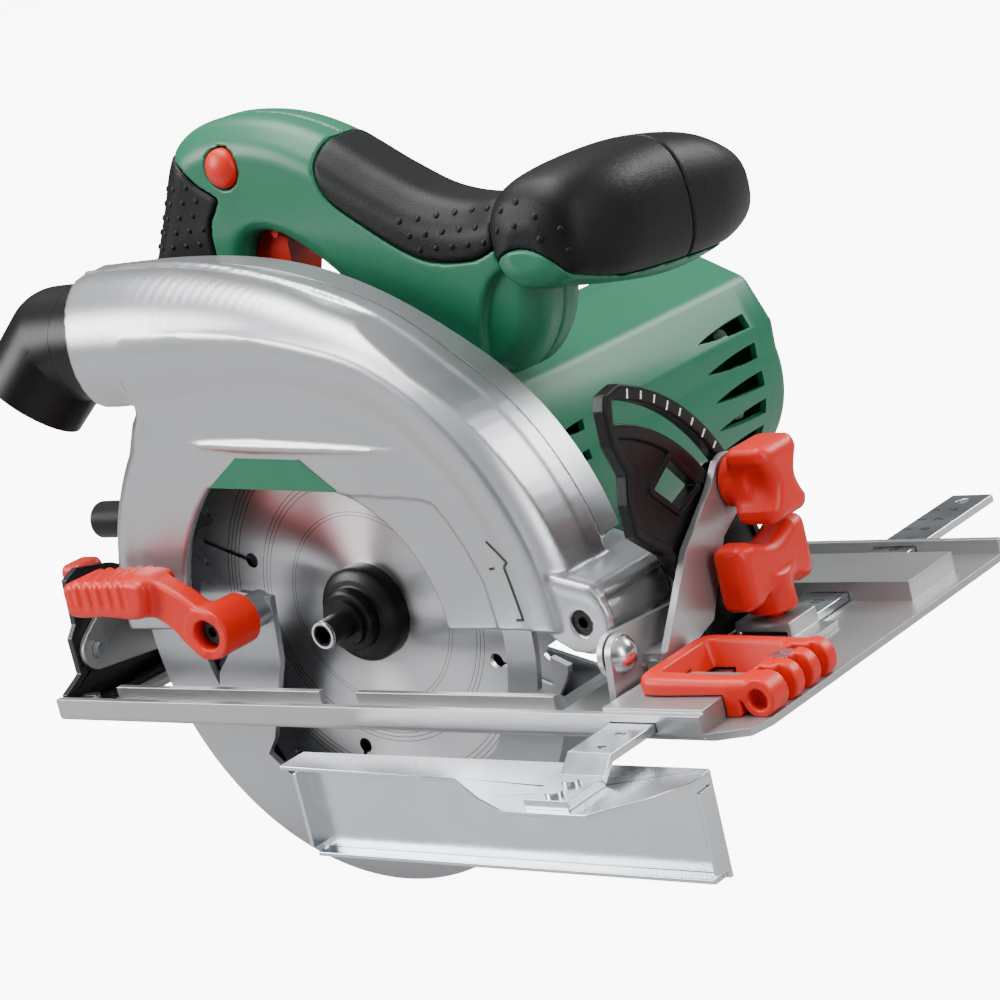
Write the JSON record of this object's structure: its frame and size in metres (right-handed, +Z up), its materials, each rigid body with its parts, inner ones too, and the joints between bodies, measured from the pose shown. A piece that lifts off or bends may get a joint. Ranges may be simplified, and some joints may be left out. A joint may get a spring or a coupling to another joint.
{
  "type": "circular saw",
  "caption": "Hand-held circular saw with slotted tilting foot, swinging blade guards, D-handle, side motor, front grip, dust elbow and parallel guide.",
  "frame": {"origin": "on the underside of the foot plate, straight below the blade's axis, in the blade's middle plane", "axes": "+X forward along the cut, +Y from the blade towards the motor, +Z up from the foot plate"},
  "size_m": [0.339, 0.28, 0.2526],
  "materials": {
    "foot_steel": "silver lacquered pressed steel, satin",
    "guard_silver": "silver lacquered casting, satin",
    "zinc_steel": "bright zinc plating",
    "dark_steel": "oiled steel",
    "blade_steel": "ground bright, fine circular grain",
    "green_plastic": "moulded green, semi gloss",
    "black_rubber": "soft moulded grip, matt",
    "black_plastic": "moulded black, fine grain",
    "red_plastic": "moulded red, semi gloss",
    "copper": "lacquered copper",
    "brass_metal": "plain brass"
  },
  "bodies": {
    "foot": {"foot_plate": "foot_steel", "rear_bevel_bracket": "dark_steel", "bevel_scale": "black_plastic", "foot_screws": "zinc_steel", "cut_line_sight": "red_plastic", "sight_screw": "zinc_steel", "pivot_rivets": "zinc_steel", "fence_clamp_bridge": "foot_steel"},
    "tilt": {"tilt_bracket_front": "foot_steel", "stop_screw": "zinc_steel", "tilt_bracket_rear": "foot_steel", "depth_link": "zinc_steel", "depth_pin": "zinc_steel", "bevel_bolts": "zinc_steel"},
    "bevel_knob": {"bevel_knob_front": "red_plastic"},
    "rear_wing": {"bevel_wing_rear": "red_plastic"},
    "saw": {"upper_guard": "guard_silver", "gear_case": "guard_silver", "depth_bolt": "zinc_steel", "motor_housing": "green_plastic", "motor_cap": "green_plastic", "handle_near": "green_plastic", "handle_far": "green_plastic", "grip_rear": "black_rubber", "grip_top": "black_rubber", "switch_module": "black_plastic", "aux_handle_shell": "green_plastic", "aux_handle_pad": "black_rubber", "aux_handle_cap": "black_rubber", "dust_elbow": "black_plastic", "cord_sleeve": "black_rubber", "rear_housing": "green_plastic", "housing_screws": "zinc_steel", "ball_bearings": "dark_steel", "stator_core": "dark_steel", "field_coils": "copper", "brush_holders": "brass_metal", "guard_spring": "dark_steel"},
    "depth_clamp": {"depth_lever": "black_plastic"},
    "spindle": {"saw_blade": "blade_steel", "outer_flange": "dark_steel", "inner_flange": "zinc_steel", "clamp_screw": "dark_steel", "spindle_shaft": "dark_steel", "spindle_gear": "dark_steel"},
    "armature": {"armature_shaft": "dark_steel", "cooling_fan": "black_plastic", "armature_core": "dark_steel", "armature_coils": "copper", "commutator": "copper"},
    "swing_guard": {"lower_guard": "guard_silver", "guard_lever": "red_plastic", "lever_screw": "zinc_steel"},
    "trigger": {"trigger": "red_plastic"},
    "lock_off": {"lock_off_button": "red_plastic"},
    "spindle_lock": {"spindle_lock_button": "black_plastic"},
    "guide": {"fence_bar": "zinc_steel", "fence_panel": "zinc_steel", "fence_rivets": "zinc_steel"},
    "guide_knob": {"fence_knob": "red_plastic"}
  },
  "joints": [
    {"name": "bevel_tilt", "type": "hinge", "parent": "foot", "child": "tilt", "pos_m": [0, -0.024, 0.019], "axis": [1, 0, 0], "range_deg": [0, 45]},
    {"name": "bevel_knob_turn", "type": "hinge", "parent": "tilt", "child": "bevel_knob", "pos_m": [0.14, 0.03986, 0.05225], "axis": [1, 0, 0], "range_deg": [-180, 0]},
    {"name": "rear_wing_turn", "type": "hinge", "parent": "tilt", "child": "rear_wing", "pos_m": [-0.13, -0.00609, 0.03108], "axis": [1, 0, 0], "range_deg": [0, 180]},
    {"name": "depth_swing", "type": "hinge", "parent": "tilt", "child": "saw", "pos_m": [0.1035, 0, 0.0275], "axis": [0, 1, 0], "range_deg": [0, 30]},
    {"name": "depth_clamp_turn", "type": "hinge", "parent": "saw", "child": "depth_clamp", "pos_m": [-0.0395, 0.024, 0.0275], "axis": [0, 1, 0], "range_deg": [0, 60]},
    {"name": "spindle_spin", "type": "hinge", "parent": "saw", "child": "spindle", "pos_m": [0, 0, 0.025], "axis": [0, 1, 0], "continuous": true},
    {"name": "armature_spin", "type": "hinge", "parent": "saw", "child": "armature", "pos_m": [0.012, 0.1, 0.04974], "axis": [0, 1, 0], "continuous": true},
    {"name": "guard_swing", "type": "hinge", "parent": "saw", "child": "swing_guard", "pos_m": [0, 0, 0.025], "axis": [0, 1, 0], "range_deg": [0, 110], "stiffness_Nm_per_rad": 0.12, "springref_deg": -34.38, "deforming": ["guard_spring"]},
    {"name": "trigger_pull", "type": "hinge", "parent": "saw", "child": "trigger", "pos_m": [-0.035, 0.045, 0.147], "axis": [0, 1, 0], "range_deg": [0, 10], "stiffness_Nm_per_rad": 0.4, "springref_deg": -17.19},
    {"name": "lock_off_push", "type": "slide", "parent": "saw", "child": "lock_off", "axis": [0, 1, 0], "range_m": [0, 0.003], "stiffness_N_per_m": 300, "springref_m": -0.004},
    {"name": "spindle_lock_push", "type": "slide", "parent": "saw", "child": "spindle_lock", "axis": [-1, 0, 0], "range_m": [0, 0.003], "stiffness_N_per_m": 300, "springref_m": -0.004},
    {"name": "guide_slide", "type": "slide", "parent": "foot", "child": "guide", "axis": [0, 1, 0], "range_m": [-0.09, 0.018]},
    {"name": "guide_knob_turn", "type": "hinge", "parent": "foot", "child": "guide_knob", "pos_m": [0.133, 0.036, 0.02], "axis": [0, 0, 1], "range_deg": [0, 15]}
  ],
  "couplings": [
    {"joint": "armature_spin", "follows": "spindle_spin", "ratio": -3.4}
  ]
}
